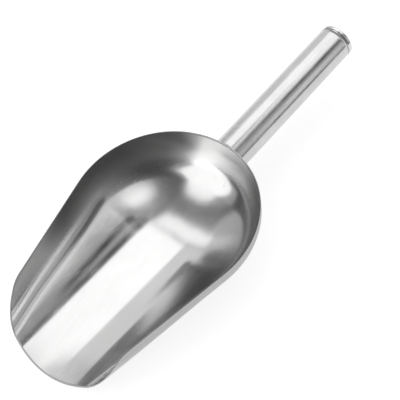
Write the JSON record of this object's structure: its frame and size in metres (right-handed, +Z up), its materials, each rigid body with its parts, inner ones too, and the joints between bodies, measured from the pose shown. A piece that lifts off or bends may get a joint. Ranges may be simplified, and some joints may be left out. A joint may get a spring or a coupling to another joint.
{
  "type": "ice scoop",
  "caption": "Bar ice scoop: a drawn steel bowl with a round back, tapered sides and a slanted rounded lip, on a straight round tube handle with an end cap.",
  "frame": {"origin": "on the flat underside of the bowl, below the centre of its round back", "axes": "+Z up, +Y back along the scoop towards the handle, X across it; the scoop is symmetric about X = 0"},
  "size_m": [0.0976, 0.2347, 0.038],
  "materials": {
    "bowl_steel": "polished and lightly brushed",
    "handle_steel": "satin, brushed round the tube",
    "cap_steel": "turned, satin",
    "weld_steel": "dressed weld"
  },
  "bodies": {
    "root": {"bowl": "bowl_steel", "handle_tube": "handle_steel", "end_cap": "cap_steel", "handle_weld": "weld_steel"}
  },
  "joints": []
}
